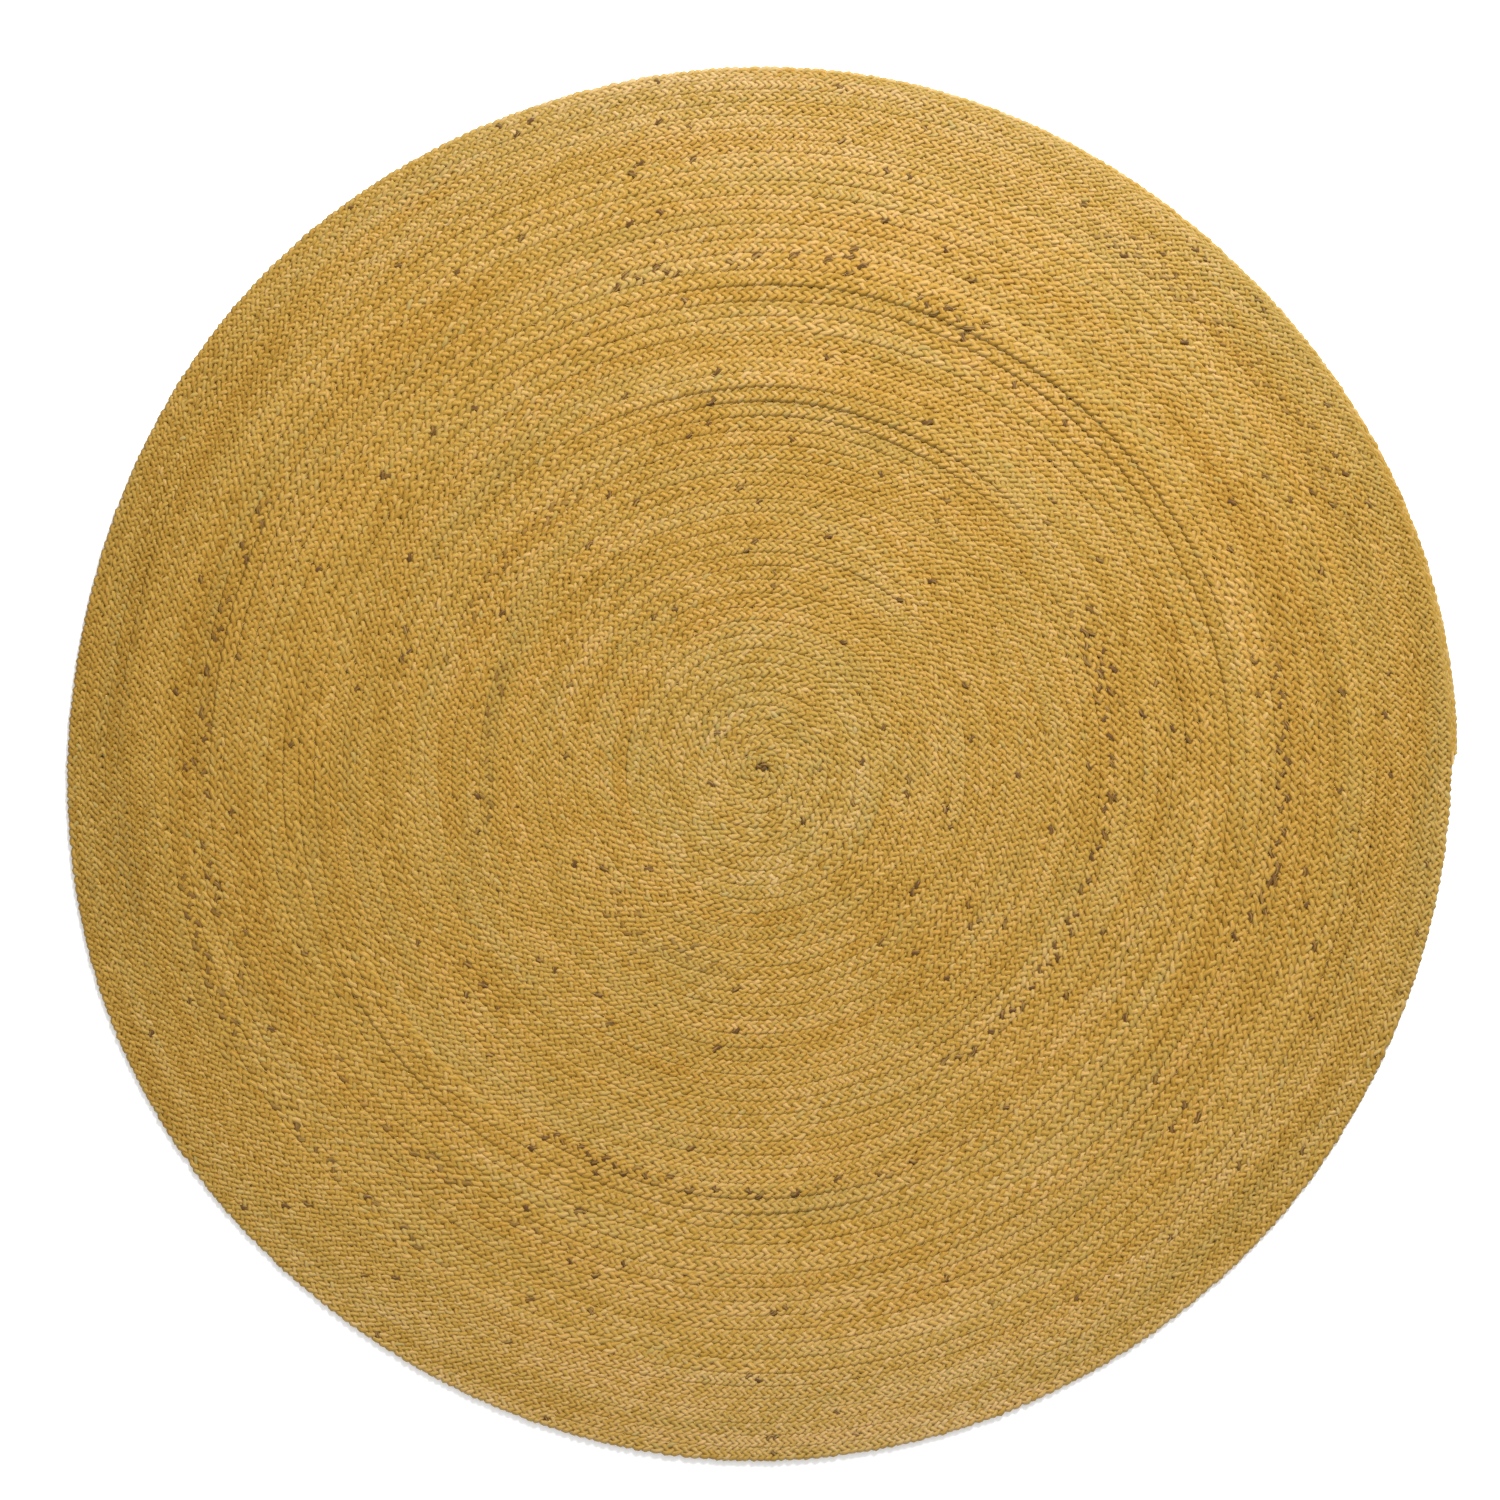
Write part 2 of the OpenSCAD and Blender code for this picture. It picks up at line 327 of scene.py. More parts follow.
def build_plait_tree():
    tree, given, result = open_tree(
        "Plait Strand", "GeometryNodeTree",
        [
            ("Line", "NodeSocketGeometry", None),
            ("Strand Angle", "NodeSocketFloat", 0.0),
            ("Rise", "NodeSocketFloat", 0.95 * MM),
            ("Mid Height", "NodeSocketFloat", 3.5 * MM),
            ("Strand Half Width", "NodeSocketFloat", 3.1 * MM),
            ("Strand Half Thickness", "NodeSocketFloat", 2.15 * MM),
            ("Straightness", "NodeSocketFloat", 0.94),
            ("Lateness", "NodeSocketFloat", 0.08),
            ("Wander", "NodeSocketFloat", 1.1),
            ("Wander Length", "NodeSocketFloat", 60 * MM),
            ("Unevenness", "NodeSocketFloat", 0.4),
            ("Jitter", "NodeSocketFloat", 3.4 * MM),
            ("Lump Height", "NodeSocketFloat", 0.9 * MM),
            ("Seed", "NodeSocketInt", 0),
            ("Material", "NodeSocketMaterial", None),
        ],
        [("Mesh", "NodeSocketGeometry")],
    )
    curve = add(tree, "GeometryNodeMeshToCurve", {"Mesh": given["Line"]}).outputs[0]

    def read(name):
        return add(tree, "GeometryNodeInputNamedAttribute", {"Name": name}, data_type="FLOAT").outputs[0]

    along = tree.nodes.new("GeometryNodeSplineParameter").outputs["Length"]
    seed = calc(tree, "MULTIPLY", given["Seed"], SEED_STEP)

    def uneven(length, shift):
        """A value from -0.5 to 0.5 that changes over the given length of strand."""
        where = calc(tree, "ADD", calc(tree, "DIVIDE", along, length), calc(tree, "ADD", seed, shift))
        noise = add(
            tree, "ShaderNodeTexNoise", {"W": where, "Scale": 1.0, "Detail": 1.0}, noise_dimensions="1D"
        )
        return calc(tree, "SUBTRACT", noise.outputs[0], 0.5)

    angle = calc(tree, "ADD", read("weave_angle"), given["Strand Angle"])
    wander = calc(tree, "MULTIPLY", uneven(given["Wander Length"], 3.0), given["Wander"])
    angle = calc(tree, "ADD", angle, wander)
    full = read("fullness")
    swell = calc(tree, "MULTIPLY_ADD", uneven(7 * MM, 11.0), given["Unevenness"], 1.0)
    scale = calc(tree, "MULTIPLY", full, swell)

    # Sideways and up, from the weave angle
    reach = calc(tree, "MULTIPLY", given["Strand Half Width"], full)
    reach = calc(tree, "SUBTRACT", read("half_width"), reach)
    # A sine turns lazily. Its arcsine makes straight runs with tight turns at the edges.
    swing = calc(tree, "ARCSINE", calc(tree, "MULTIPLY", calc(tree, "SINE", angle), given["Straightness"]))
    swing = calc(tree, "DIVIDE", swing, calc(tree, "ARCSINE", given["Straightness"]))
    side = calc(tree, "MULTIPLY", swing, reach)
    side = calc(tree, "ADD", side, calc(tree, "MULTIPLY", uneven(9 * MM, 29.0), given["Jitter"]))
    # The fast wave goes over near the right edge, over in the middle and over near the left edge, with a
    # dive between. The slow wave evens out their heights, and the clamp below flattens the crowns.
    late = calc(tree, "SUBTRACT", angle, given["Lateness"])
    crown = calc(tree, "MULTIPLY", calc(tree, "COSINE", calc(tree, "MULTIPLY", late, 3.0)), -FAST_LIFT)
    crown = calc(tree, "MULTIPLY_ADD", calc(tree, "COSINE", late), SLOW_LIFT, crown)
    level = calc(tree, "MULTIPLY", crown, CROWN_GAIN)
    level = calc(tree, "MAXIMUM", calc(tree, "MINIMUM", level, 1.0), -1.0)
    up = calc(tree, "MULTIPLY", level, calc(tree, "MULTIPLY", given["Rise"], full))
    up = calc(tree, "ADD", up, given["Mid Height"])
    tangent = tree.nodes.new("GeometryNodeInputTangent").outputs[0]
    across = add(tree, "ShaderNodeVectorMath", {0: (0, 0, 1), 1: tangent}, operation="CROSS_PRODUCT")
    sideways = add(tree, "ShaderNodeVectorMath", {0: across.outputs[0], "Scale": side}, operation="SCALE")
    upwards = add(tree, "ShaderNodeCombineXYZ", {"Z": up})
    offset = add(
        tree, "ShaderNodeVectorMath", {0: sideways.outputs[0], 1: upwards.outputs[0]}, operation="ADD"
    )

    # One number per tuft, the stretch of strand that shows between two dives
    tuft = calc(tree, "FLOOR", calc(tree, "MULTIPLY", angle, 1.5 / math.pi))
    tuft = calc(tree, "ADD", tuft, calc(tree, "MULTIPLY", seed, 1.7))
    tone = add(tree, "ShaderNodeTexWhiteNoise", {"W": tuft}, noise_dimensions="1D").outputs["Value"]
    kind = add(
        tree, "ShaderNodeTexWhiteNoise", {"W": calc(tree, "ADD", tuft, 0.37)}, noise_dimensions="1D"
    ).outputs["Value"]
    marked = curve
    slow = (("batch", uneven(340 * MM, 41.0)), ("hue", uneven(260 * MM, 57.0)))
    for name, value in (("tuft_tone", tone), ("tuft_kind", kind), ("crown", crown)) + slow:
        marked = add(
            tree, "GeometryNodeStoreNamedAttribute", {"Geometry": marked, "Name": name, "Value": value},
            data_type="FLOAT", domain="POINT",
        ).outputs[0]
    sized = add(tree, "GeometryNodeSetCurveRadius", {"Curve": marked, "Radius": scale})
    woven = add(
        tree, "GeometryNodeSetPosition", {"Geometry": sized.outputs[0], "Offset": offset.outputs[0]}
    )
    bundle = add(
        tree, "GeometryNodeGroup",
        {
            "Curve": woven.outputs[0], "Half Width": given["Strand Half Width"],
            "Half Thickness": given["Strand Half Thickness"], "Lump Height": given["Lump Height"],
            "Material": given["Material"],
        },
        node_tree=bundle_tree,
    )
    real = add(tree, "GeometryNodeRealizeInstances", {"Geometry": bundle.outputs[0]})
    dressed = add(
        tree, "GeometryNodeSetMaterial", {"Geometry": real.outputs[0], "Material": given["Material"]}
    )
    tree.links.new(dressed.outputs[0], result["Mesh"])
    return tree


plait_tree = build_plait_tree()
print("tree", plait_tree.name, "has", len(plait_tree.nodes), "nodes")

# %% [markdown]
# ## The look of jute
#
# Jute is a dry bark fibre. Up close it is straw gold with short streaks, no two tufts are quite the same
# tone, and here and there a bit of dark bark or a pale grey, greenish fibre is spun in. From afar soft
# bands follow the turns. A picture of jute would repeat and stretch. A shader group that mixes noises
# along the fibre doesn't, and every length of plait can use it with its own colours. It puts out a
# colour, a roughness and a height, and the surface shader stays in each material.

# %% Shader group: jute
FIBRE_R = 2.4 * MM


def mixed(tree, share, a, b, blend="MIX"):
    made = add(tree, "ShaderNodeMix", data_type="RGBA", blend_type=blend)
    for socket, value in ((made.inputs[0], share), (made.inputs[6], a), (made.inputs[7], b)):
        if isinstance(value, bpy.types.NodeSocket):
            tree.links.new(value, socket)
        else:
            socket.default_value = value
    return made.outputs[2]


def ramp(tree, value, low, high, to_low=0.0, to_high=1.0):
    """A value brought from the range low to high into another, and held there."""
    return add(
        tree, "ShaderNodeMapRange",
        {"Value": value, "From Min": low, "From Max": high, "To Min": to_low, "To Max": to_high},
    ).outputs[0]


def attribute(tree, name, output="Fac"):
    return add(tree, "ShaderNodeAttribute", attribute_name=name).outputs[output]


def build_jute_group():
    tree, given, result = open_tree(
        "Jute Fibre", "ShaderNodeTree",
        [
            ("Straw", "NodeSocketColor", (0.5, 0.3, 0.07, 1)),
            ("Shade", "NodeSocketColor", (0.25, 0.13, 0.03, 1)),
            ("Pale", "NodeSocketColor", (0.75, 0.52, 0.2, 1)),
            ("Bark", "NodeSocketColor", (0.12, 0.06, 0.025, 1)),
            ("Grey", "NodeSocketColor", (0.42, 0.38, 0.2, 1)),
            ("Rust", "NodeSocketColor", (1.0, 0.88, 0.7, 1)),
            # The colour of the painted shade between the tufts
            ("Painted Crease Shade", "NodeSocketColor", (0.1, 0.05, 0.01, 1)),
            ("Tuft Contrast", "NodeSocketFloat", 0.5),
            ("Streak Contrast", "NodeSocketFloat", 1.3),
            ("Batch Contrast", "NodeSocketFloat", 0.8),
            ("Flecks", "NodeSocketFloat", 0.004),
        ],
        [("Color", "NodeSocketColor"), ("Roughness", "NodeSocketFloat"), ("Height", "NodeSocketFloat")],
    )
    fibre = attribute(tree, "fibre", "Vector")
    place = tree.nodes.new("ShaderNodeTexCoord").outputs["Object"]
    tuft = attribute(tree, "tuft_tone")
    kind = attribute(tree, "tuft_kind")

    def streaks(lengthwise, crosswise, detail):
        stretch = (lengthwise, crosswise, crosswise)
        stretched = add(tree, "ShaderNodeVectorMath", {0: fibre, 1: stretch}, operation="MULTIPLY")
        return add(
            tree, "ShaderNodeTexNoise", {"Vector": stretched.outputs[0], "Scale": 1.0, "Detail": detail}
        ).outputs[0]

    coarse = streaks(90.0, 800.0, 2.0)
    fine = streaks(330.0, 1100.0, 3.0)
    # Bands that follow the turns: fast across them and slow along them
    spot = add(tree, "ShaderNodeSeparateXYZ", {"Vector": place}).outputs
    x_squared, y_squared = calc(tree, "POWER", spot[0], 2.0), calc(tree, "POWER", spot[1], 2.0)
    out = calc(tree, "POWER", calc(tree, "ADD", x_squared, y_squared), 0.5)
    angle = calc(tree, "ARCTAN2", spot[1], spot[0])
    bands = {
        "X": calc(tree, "MULTIPLY", out, 30.0),
        "Y": calc(tree, "MULTIPLY", calc(tree, "COSINE", angle), 2.2),
        "Z": calc(tree, "MULTIPLY", calc(tree, "SINE", angle), 2.2),
    }
    polar = add(tree, "ShaderNodeCombineXYZ", bands).outputs[0]
    band = add(tree, "ShaderNodeTexNoise", {"Vector": polar, "Scale": 1.0, "Detail": 3.0})

    # Light or dark: the tuft's own tone, streaks along it, and slow changes from bale to bale
    tone = calc(tree, "MULTIPLY", calc(tree, "SUBTRACT", tuft, 0.5), given["Tuft Contrast"])
    streak = calc(tree, "ADD", calc(tree, "MULTIPLY", coarse, 0.4), calc(tree, "MULTIPLY", fine, 0.6))
    streak = calc(tree, "MULTIPLY", calc(tree, "SUBTRACT", streak, 0.5), given["Streak Contrast"])
    tone = calc(tree, "ADD", tone, calc(tree, "MULTIPLY", streak, 2.0))
    batch = attribute(tree, "batch")
    tone = calc(tree, "ADD", tone, calc(tree, "MULTIPLY", batch, given["Batch Contrast"]))
    tone = calc(tree, "MULTIPLY_ADD", calc(tree, "SUBTRACT", band.outputs[0], 0.5), 0.85, tone)
    # Painted light: two opposite sides, along Y, are painted a little paler than the rest, and the +X side
    # paler than the -X side, as the light falls across the rows of tufts
    painted_side_light = calc(tree, "SUBTRACT", y_squared, x_squared)
    painted_side_light = calc(tree, "MULTIPLY_ADD", spot[0], 0.12, calc(tree, "MULTIPLY", painted_side_light, 0.5))
    tone = calc(tree, "ADD", tone, painted_side_light)
    color = mixed(tree, ramp(tree, tone, 0.0, -0.8), given["Straw"], given["Shade"])
    color = mixed(tree, ramp(tree, tone, 0.0, 0.8), color, given["Pale"])

    # Hue: stretches of a strand are warmer, or greyer and greener
    band_hue = add(tree, "ShaderNodeSeparateXYZ", {"Vector": band.outputs["Color"]}).outputs[2]
    hue = calc(tree, "ADD", attribute(tree, "hue"), calc(tree, "SUBTRACT", band_hue, 0.5))
    color = mixed(tree, ramp(tree, hue, 0.03, 0.28, 0.0, 0.36), color, given["Grey"])
    color = mixed(tree, ramp(tree, hue, -0.03, -0.28, 0.0, 0.5), color, given["Rust"], "MULTIPLY")
    # Single tufts are bark brown or pale grey, mostly where the bale was poor
    poor = ramp(tree, batch, 0.05, 0.3, 0.4, 6.0)
    rare = calc(tree, "MULTIPLY", given["Flecks"], poor)
    is_grey = calc(tree, "GREATER_THAN", kind, calc(tree, "SUBTRACT", 1.0, rare))
    color = mixed(tree, calc(tree, "MULTIPLY", is_grey, 0.5), color, given["Grey"])
    worn = ramp(tree, coarse, 0.40, 0.54, 0.35, 1.0)
    is_bark = calc(tree, "LESS_THAN", kind, rare)
    stained = calc(tree, "MULTIPLY", attribute(tree, "stain"), ramp(tree, kind, 0.25, 0.45))
    bark = calc(tree, "MULTIPLY", calc(tree, "MAXIMUM", is_bark, stained), worn)
    color = mixed(tree, bark, color, given["Bark"])

    # Painted shade: the colour is darkened between the tufts, down their sides and where they dive, where
    # shade falls
    top = calc(tree, "DIVIDE", add(tree, "ShaderNodeSeparateXYZ", {"Vector": fibre}).outputs[1], FIBRE_R)
    raised = ramp(tree, attribute(tree, "crown"), -0.2, 0.35)
    open_sky = calc(tree, "MULTIPLY", ramp(tree, top, 0.12, 0.42), raised)
    color = mixed(tree, ramp(tree, open_sky, 0.0, 1.0, 0.36, 0.0), color, given["Painted Crease Shade"])
    tree.links.new(color, result["Color"])
    tree.links.new(ramp(tree, fine, 0.3, 0.7, 0.45, 0.7), result["Roughness"])
    height = calc(tree, "ADD", calc(tree, "MULTIPLY", coarse, 0.65), calc(tree, "MULTIPLY", fine, 0.35))
    tree.links.new(height, result["Height"])
    return tree


jute_group = build_jute_group()
print("shader group", jute_group.name, "has", len(jute_group.nodes), "nodes")

# %% [markdown]
# ## Jute materials
#
# One material for each length of plait, because each was plaited from another bale. The colours are given
# as plain red, green and blue from 0 to 1. A little sheen stands for the fuzz of loose fibre ends.

# %% Materials
def jute_material(name, straw, flecks=0.006, tuft=0.4, depth=0.5 * MM):
    """Jute in the given main colour. The shade and the pale tone follow from it."""
    made = bpy.data.materials.new(name)
    made.use_nodes = True
    tree = made.node_tree
    shader = tree.nodes["Principled BSDF"]
    red, green, blue = straw
    jute = add(
        tree, "ShaderNodeGroup",
        {
            "Straw": (red, green, blue, 1), "Flecks": flecks, "Tuft Contrast": tuft,
            "Shade": (red * 0.60, green * 0.52, blue * 0.28, 1),
            "Pale": (min(red * 1.42, 1), min(green * 1.56, 1), min(blue * 3.7, 1), 1),
            "Bark": (red * 0.13, green * 0.11, blue * 0.30, 1),
            "Grey": (red * 0.82, green * 1.08, blue * 1.9, 1),
            # Painted shade between the tufts: a dark brown made from the main colour
            "Painted Crease Shade": (red * 0.32, green * 0.20, blue * 0.03, 1),
        },
        node_tree=jute_group,
    )
    relief = {"Height": jute.outputs["Height"], "Distance": depth, "Strength": 0.9}
    bump = add(tree, "ShaderNodeBump", relief)
    tree.links.new(jute.outputs["Color"], shader.inputs["Base Color"])
    tree.links.new(jute.outputs["Roughness"], shader.inputs["Roughness"])
    tree.links.new(bump.outputs[0], shader.inputs["Normal"])
    shader.inputs["Sheen Weight"].default_value = 0.01
    shader.inputs["Sheen Roughness"].default_value = 0.6
    shader.inputs["Specular IOR Level"].default_value = 0.14
    return made


GOLD = (0.476, 0.296, 0.052)
STRAW = {
    1: (0.468, 0.306, 0.061),
    2: GOLD,
    3: (0.473, 0.292, 0.050),
    4: GOLD,
    5: (0.467, 0.288, 0.049),
    6: (0.476, 0.295, 0.051),
    7: (0.469, 0.286, 0.048),
    8: (0.473, 0.295, 0.052),
    9: (0.469, 0.296, 0.055),
    10: (0.458, 0.296, 0.059),
}
jute = {k: jute_material(f"Jute length {k:02d}", straw) for k, straw in STRAW.items()}
print(len(jute), "jute materials")

# %% [markdown]
# The sewing thread is a two-ply cord. Its twist is a wave that winds round it: the wave's phase mixes the
# distance along the thread with the angle round it.

# %% Thread material
def thread_material(name, color, twist=1.6 * MM):
    made = bpy.data.materials.new(name)
    made.use_nodes = True
    tree = made.node_tree
    shader = tree.nodes["Principled BSDF"]
    along = calc(tree, "DIVIDE", attribute(tree, "along"), twist)
    phase = calc(tree, "ADD", along, attribute(tree, "around"))
    ply = calc(tree, "SINE", calc(tree, "MULTIPLY", phase, 2 * math.pi))
    ply = ramp(tree, ply, -1.0, 1.0)
    fuzz = add(
        tree, "ShaderNodeTexNoise",
        {"Vector": tree.nodes.new("ShaderNodeTexCoord").outputs["Object"], "Scale": 900.0, "Detail": 2.0},
    ).outputs[0]
    # Painted shade: the thread is painted darker in the groove between its plies, where the bump sinks
    dark = tuple(part * 0.62 for part in color) + (1,)
    shown = mixed(tree, ramp(tree, calc(tree, "ADD", ply, fuzz), 0.3, 1.3), dark, color + (1,))
    bump = add(tree, "ShaderNodeBump", {"Height": ply, "Distance": 0.15 * MM})
    tree.links.new(shown, shader.inputs["Base Color"])
    tree.links.new(ramp(tree, fuzz, 0.3, 0.7, 0.65, 0.85), shader.inputs["Roughness"])
    tree.links.new(bump.outputs[0], shader.inputs["Normal"])
    shader.inputs["Sheen Weight"].default_value = 0.1
    return made


thread_cord = thread_material("Sewing thread", (0.56, 0.33, 0.07))
binding_cord = thread_material("Binding twine", (0.60, 0.38, 0.10))
print("materials", thread_cord.name, "and", binding_cord.name)

# %% [markdown]
# ## From a line to a piece
#
# A line is a mesh of points and edges with numbers stored on its points. The tree runs on it as a modifier,
# and the result is copied out as a plain mesh, so that nothing is left live on the finished piece. Each
# piece also gets a map of its own surface: the strand is cut into equal stretches that are laid side by
# side, like noodles on a tray, so that a finish baked later stays even along all of it.

# %% Make and map pieces
def line_object(points, numbers):
    """A mesh line through the points, with named numbers on them."""
    mesh = bpy.data.meshes.new("line")
    edges = np.column_stack([np.arange(len(points) - 1), np.arange(1, len(points))])
    mesh.from_pydata(points.tolist(), edges.tolist(), [])
    for name, values in numbers.items():
        layer = mesh.attributes.new(name, "FLOAT", "POINT")
        layer.data.foreach_set("value", np.asarray(values, dtype=np.float32))
    made = bpy.data.objects.new("line", mesh)
    bpy.context.scene.collection.objects.link(made)
    return made


def shape_with(name, source, tree, values):
    """Run the tree on the source object, and keep what it makes as a plain mesh object."""
    modifier = source.modifiers.new("shape", "NODES")
    modifier.node_group = tree
    for item in tree.interface.items_tree:
        if item.in_out == "INPUT" and item.name in values:
            modifier[item.identifier] = values[item.name]
    evaluated = source.evaluated_get(bpy.context.evaluated_depsgraph_get())
    mesh = bpy.data.meshes.new_from_object(evaluated)
    mesh.name = name
    bpy.data.objects.remove(source)
    piece = bpy.data.objects.new(name, mesh)
    bpy.context.scene.collection.objects.link(piece)
    return piece


def read_numbers(mesh, name):
    values = np.empty(len(mesh.vertices), np.float32)
    mesh.attributes[name].data.foreach_get("value", values)
    return values


def map_strand(piece, strips):
    """Store where each point is on the strand, and lay its surface out in the given number of strips."""
    mesh = piece.data
    along, around = read_numbers(mesh, "along"), read_numbers(mesh, "around")
    turn = around * 2 * math.pi
    fibre = mesh.attributes.new("fibre", "FLOAT_VECTOR", "POINT")
    spot = np.column_stack([along, np.cos(turn) * FIBRE_R, np.sin(turn) * FIBRE_R])
    fibre.data.foreach_set("vector", spot.astype(np.float32).ravel())
    corner = np.empty(len(mesh.loops), np.int32)
    mesh.loops.foreach_get("vertex_index", corner)
    start = np.empty(len(mesh.polygons), np.int32)
    mesh.polygons.foreach_get("loop_start", start)
    face = np.repeat(np.arange(len(start)), np.diff(np.append(start, len(corner))))
    a, s = around[corner], along[corner]
    wraps = np.maximum.reduceat(a, start) - np.minimum.reduceat(a, start) > 0.5
    a = a + (wraps[face] & (a < 0.5))
    stretch = along.max() / strips * 1.0001
    strip = np.floor(np.minimum.reduceat(s, start) / stretch)[face]
    u = 0.01 + 0.97 * (s / stretch - strip)
    v = (strip + 0.04 + 0.92 * a) / strips
    layer = mesh.uv_layers.new(name="OFBake")
    layer.data.foreach_set("uv", np.column_stack([u, v]).astype(np.float32).ravel())


print("helpers ready")

# %% [markdown]
# ## Ten lengths of plait
#
# Every length gets the points of its own stretch of the spiral, fourteen for each weave cycle. Its end
# runs a little way into the next length, as a splice does, and both ends are thinned. The strands reach
# past the edge of the plain solid, because sewing presses the turns together until the rows of tufts are
# evenly spaced. In a few places the jute was darker over part of a turn, and a stain number says where.

# %% Weave the lengths
POINTS_PER_CYCLE = 14
PRESS = 2.3 * MM
STRAND_SHARE = 0.46
SPLICE = 4 * MM
PULL = 2.2
PULL_EVERY = 80 * MM
# Each darker row: its radius, the angles between which it lies in degrees, and how dark it is
DARK_ROWS = [
    (383 * MM, -60, 30, 1.0),
    (461 * MM, -125, -60, 1.0),
    (558 * MM, -25, 15, 1.0),
    (537 * MM, 60, 110, 1.0),
    (300 * MM, 150, 200, 0.7),
    (597 * MM, 150, 205, 0.9),
    (640 * MM, 185, 240, 0.8),
    (215 * MM, -150, -95, 0.6),
    (350 * MM, 120, 165, 0.6),
    (560 * MM, -150, -110, 0.7),
    (690 * MM, 20, 60, 0.6),
]


def stain_at(points):
    far = np.hypot(points[:, 0], points[:, 1])
    angle = np.degrees(np.arctan2(points[:, 1], points[:, 0]))
    stain = np.zeros(len(points))
    for place, first, last, depth in DARK_ROWS:
        middle, half = (first + last) / 2, (last - first) / 2
        turn = np.abs((angle - middle + 180) % 360 - 180)
        inside = np.clip((half - turn) / 3, 0, 1) * (np.abs(far - place) < 8 * MM)
        stain = np.maximum(stain, depth * inside)
    return stain


def length_line(k):
    """The settled line of length k, counted from 0, with its weave angle and widths."""
    _, width, cycle = LENGTHS[k]
    start, end = run_to[first_half[k]], run_to[first_half[k + 1]]
    end += SPLICE
    if k == len(LENGTHS) - 1:
        end -= BINDING_L
    run = np.arange(start + TURN_GAP, end, cycle / POINTS_PER_CYCLE)
    flat, wide = spiral_at(run)
    # The ends of a length are thinned, and the tail gets thinner as it narrows
    from_end = np.minimum(run - start, end - run)
    thinned = np.clip(0.55 + 0.45 * from_end / (8 * MM), 0, 1)
    full = thinned * np.clip(wide / (width - TURN_GAP), 0.1, 1) ** 0.7
    # Hands pull tighter and looser, so the weave runs ahead and falls behind along the way
    marks = np.arange(start, end + 2 * PULL_EVERY, PULL_EVERY)
    pull = np.interp(run, marks, np.random.default_rng(k).uniform(-PULL, PULL, len(marks)))
    numbers = {
        "weave_angle": 2 * math.pi * (run - start) / cycle + pull,
        "half_width": wide / 2 + PRESS, "fullness": full, "stain": stain_at(flat),
    }
    return settle(flat), numbers


def place_piece(piece, node):
    """The piece belongs to the rug's one body and stands for the node's plain solid."""
    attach(piece, "root")
    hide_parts(node)


PLAIT_STRIPS = 32
pieces = {}
for k, (_, width, cycle) in enumerate(LENGTHS):
    points, numbers = length_line(k)
    for strand in range(4):
        name = f"braid_{k + 1:02d}_strand_{'abcd'[strand]}"
        if strand == 1:
            numbers["stain"] = numbers["stain"] * 0
        piece = shape_with(
            name, line_object(points, numbers), plait_tree,
            {
                "Strand Angle": math.pi * strand / 2,
                "Strand Half Width": STRAND_SHARE * (width - TURN_GAP) / 2,
                "Mid Height": THICK / 2, "Seed": 4 * k + strand + 1, "Material": jute[k + 1],
            },
        )
        map_strand(piece, PLAIT_STRIPS)
        place_piece(piece, f"braid_{k + 1:02d}")
        pieces[name] = piece
    print(f"braid_{k + 1:02d}: {len(points)} points, {4 * len(piece.data.polygons)} faces")

# %% [markdown]
# ## The zigzag thread
#
# The turns are joined by a zigzag stitch that bites into the edge of the plait on either side of the
# groove. On a soft plait it sinks in until little more than short slanting bars show in the groove. The
# stitches could be separate bars, but one thread that swings from side to side is how it's really sewn, so
# the tree moves every other point of the groove's line to one side and the rest to the other.

# %% Tree: zigzag thread
def build_zigzag_tree():
    tree, given, result = open_tree(
        "Zigzag Thread", "GeometryNodeTree",
        [
            ("Groove", "NodeSocketGeometry", None),
            ("Bite", "NodeSocketFloat", 1.6 * MM),
            ("Height", "NodeSocketFloat", 5.2 * MM),
            ("Thread Radius", "NodeSocketFloat", 0.45 * MM),
            ("Material", "NodeSocketMaterial", None),
        ],
        [("Mesh", "NodeSocketGeometry")],
    )
    curve = add(tree, "GeometryNodeMeshToCurve", {"Mesh": given["Groove"]}).outputs[0]
    index = tree.nodes.new("GeometryNodeInputIndex").outputs[0]
    swing = calc(tree, "SUBTRACT", calc(tree, "MULTIPLY", calc(tree, "MODULO", index, 2.0), 2.0), 1.0)
    slack = add(tree, "ShaderNodeTexWhiteNoise", {"W": index}, noise_dimensions="1D").outputs["Value"]
    bite = calc(tree, "MULTIPLY", given["Bite"], calc(tree, "MULTIPLY_ADD", slack, 0.5, 0.75))
    tangent = tree.nodes.new("GeometryNodeInputTangent").outputs[0]
    across = add(tree, "ShaderNodeVectorMath", {0: (0, 0, 1), 1: tangent}, operation="CROSS_PRODUCT")
    aside = add(
        tree, "ShaderNodeVectorMath",
        {0: across.outputs[0], "Scale": calc(tree, "MULTIPLY", swing, bite)}, operation="SCALE",
    )
    up = add(tree, "ShaderNodeCombineXYZ", {"Z": given["Height"]})
    offset = add(tree, "ShaderNodeVectorMath", {0: aside.outputs[0], 1: up.outputs[0]}, operation="ADD")
    sewn = add(tree, "GeometryNodeSetPosition", {"Geometry": curve, "Offset": offset.outputs[0]})
    cord = add(
        tree, "GeometryNodeGroup",
        {
            "Curve": sewn.outputs[0], "Half Width": given["Thread Radius"],
            "Half Thickness": given["Thread Radius"], "Sides": 3, "Lump Height": 0.0,
            "Material": given["Material"],
        },
        node_tree=bundle_tree,
    )
    real = add(tree, "GeometryNodeRealizeInstances", {"Geometry": cord.outputs[0]})
    dressed = add(
        tree, "GeometryNodeSetMaterial", {"Geometry": real.outputs[0], "Material": given["Material"]}
    )
    tree.links.new(dressed.outputs[0], result["Mesh"])
    return tree


